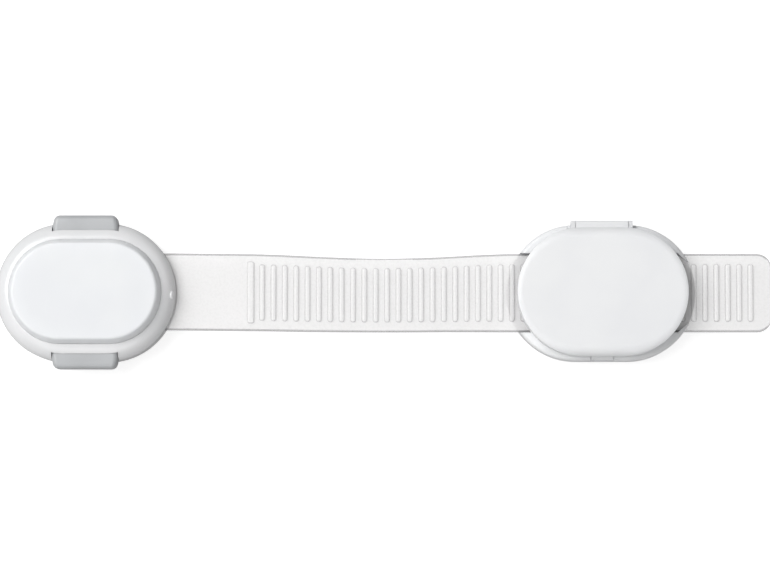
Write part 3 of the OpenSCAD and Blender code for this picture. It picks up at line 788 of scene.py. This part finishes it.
def catch_arm(name, side):
    """Barbed arm on the foot, whose barb its button's plunger pushes."""
    outline = [
        (ARM_INNER, FOOT_TOP - ARM_SINK), (ARM_OUTER, FOOT_TOP - ARM_SINK),
        (ARM_OUTER, BARB_UNDER), (BARB_TIP, BARB_UNDER), (BARB_TIP, BARB_UPPER),
        (BARB_CREST, ARM_TOP), (ARM_INNER, ARM_TOP),
    ]
    start_x = (HEAD_X - ARM_WIDTH / 2) * MM
    bm = bmesh.new()
    profile = bm.faces.new(
        [bm.verts.new((start_x, side * y * MM, z * MM)) for y, z in outline]
    )
    far_side = bmesh.ops.extrude_face_region(bm, geom=[profile], use_keep_orig=True)["geom"]
    bmesh.ops.translate(bm, vec=(ARM_WIDTH * MM, 0, 0), verts=points(far_side))
    rounded(bm, bm.edges[:], CATCH_EDGE, segments=2)
    piece = finished_piece(name, bm, natural_acetal, "latch_base")
    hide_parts("catch_spring")
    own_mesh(piece)


# Small marks of the moulding

def gate_mark():
    """Trimmed gate on the shoulder of the housing above the strap."""
    up = math.sqrt(HOUSING_ROUND ** 2 - GATE_OUT ** 2)
    foot = Vector((
        HEAD_X + HOUSING_HALF - HOUSING_ROUND + GATE_OUT, GATE_Y, HOUSING_SHOULDER_Z + up,
    )) * MM
    bm = bmesh.new()
    bmesh.ops.create_cone(
        bm, cap_ends=True, segments=24, depth=GATE_HEIGHT * MM,
        radius1=GATE_FOOT * MM, radius2=GATE_TOP * MM,
    )
    top = [e for e in bm.edges if all(v.co.z > 0 for v in e.verts)]
    rounded(bm, top, GATE_EDGE, segments=3)
    bmesh.ops.scale(bm, vec=GATE_OVAL, verts=bm.verts[:])
    outward = Vector((GATE_OUT, 0, up)).normalized()
    turn = outward.to_track_quat("Z", "Y").to_matrix()
    bmesh.ops.rotate(bm, cent=(0, 0, 0), matrix=turn, verts=bm.verts[:])
    bmesh.ops.translate(bm, vec=foot, verts=bm.verts[:])
    finished_piece("gate_mark", bm, gloss_white_abs, "head")


ribbed_strap()
foam_pad("latch_foam", "latch_pad", "latch_base")
foam_pad("adjuster_foam", "adjuster_pad", "adjuster")
squeeze_button("upper_bar", "upper_button", 1)
squeeze_button("lower_bar", "lower_button", -1)
button_spring("upper_coil", "upper_button_spring", 1)
button_spring("lower_coil", "lower_button_spring", -1)
plate_screws()
catch_foot()
catch_arm("upper_catch_arm", 1)
catch_arm("lower_catch_arm", -1)
gate_mark()


# Studio

def studio_floor():
    """White paper under the lock, self-lit to the eye so that its shadows stay faint."""
    drop_mm = 0.2
    fibre_mm = 2.5
    glow_strength = 0.7
    bm = bmesh.new()
    bmesh.ops.create_grid(bm, x_segments=1, y_segments=1, size=3.0)
    bmesh.ops.translate(bm, vec=(0, 0, -drop_mm * MM), verts=bm.verts[:])
    mesh = bpy.data.meshes.new("studio_floor")
    bm.to_mesh(mesh)
    bm.free()
    floor = bpy.data.objects.new("studio_floor", mesh)
    bpy.context.scene.collection.objects.link(floor)
    material, tree, shader = new_material(
        "white_paper", {"Roughness": 0.9, "Emission Color": (1, 1, 1, 1)},
    )
    # The sheet is overexposed as in the photo, without throwing that light back on the lock
    ray = add(tree, "ShaderNodeLightPath", {})
    glow = add(
        tree, "ShaderNodeMath", {"operation": "MULTIPLY", 1: glow_strength},
        [(0, ray, "Is Camera Ray")],
    )
    tree.links.new(glow.outputs["Value"], shader.inputs["Emission Strength"])
    place = add(tree, "ShaderNodeTexCoord", {})
    fibre = add(
        tree, "ShaderNodeTexNoise", {"Scale": 1 / (fibre_mm * MM)},
        [("Vector", place, "Object")],
    )
    tint = add(
        tree, "ShaderNodeValToRGB", {"ramp": [(0.3, "#c6c6c6"), (0.7, "#c9c9c9")]},
        [("Fac", fibre, "Fac")],
    )
    tree.links.new(tint.outputs["Color"], shader.inputs["Base Color"])
    mesh.materials.append(material)


def soft_box(name, place, power, width, height):
    """Rectangular studio light aimed at the lock, in metres and watts."""
    light = bpy.data.lights.new(name, "AREA")
    light.shape = "RECTANGLE"
    light.size = width
    light.size_y = height
    light.energy = power
    lamp = bpy.data.objects.new(name, light)
    lamp.location = place
    lamp.rotation_euler = (-Vector(place)).to_track_quat("-Z", "Y").to_euler()
    bpy.context.scene.collection.objects.link(lamp)


def photo_camera():
    """Long lens, almost straight above, a little from the side of the lower button."""
    distance = 0.8
    tilt = math.radians(4.0)
    target = Vector((0.15, 1.04, 5.0)) * MM
    frame_pixels = 770
    pixels_per_mm = 4.05
    sensor = 36.0
    camera = bpy.data.cameras.new("photo_camera")
    camera.sensor_width = sensor
    camera.sensor_fit = "HORIZONTAL"
    camera.lens = sensor * distance / (frame_pixels / pixels_per_mm * MM)
    camera.clip_start = 0.01
    stand = bpy.data.objects.new("photo_camera", camera)
    stand.location = target + distance * Vector((0, -math.sin(tilt), math.cos(tilt)))
    stand.rotation_euler = (tilt, 0, 0)
    bpy.context.scene.collection.objects.link(stand)
    bpy.context.scene.camera = stand


def studio_air(strength):
    """Even white light from all round."""
    sky = bpy.data.worlds.new("studio_air")
    sky.use_nodes = True
    background = sky.node_tree.nodes["Background"]
    background.inputs["Color"].default_value = (1, 1, 1, 1)
    background.inputs["Strength"].default_value = strength
    bpy.context.scene.world = sky


studio_floor()
soft_box("key_light", place=(-0.95, 0.5, 1.62), power=29.5, width=1.3, height=1.3)
soft_box("fill_light", place=(-0.1, -1.0, 1.2), power=5.0, width=1.2, height=0.9)
photo_camera()
studio_air(strength=0.26)
bpy.context.scene.view_settings.view_transform = "Standard"
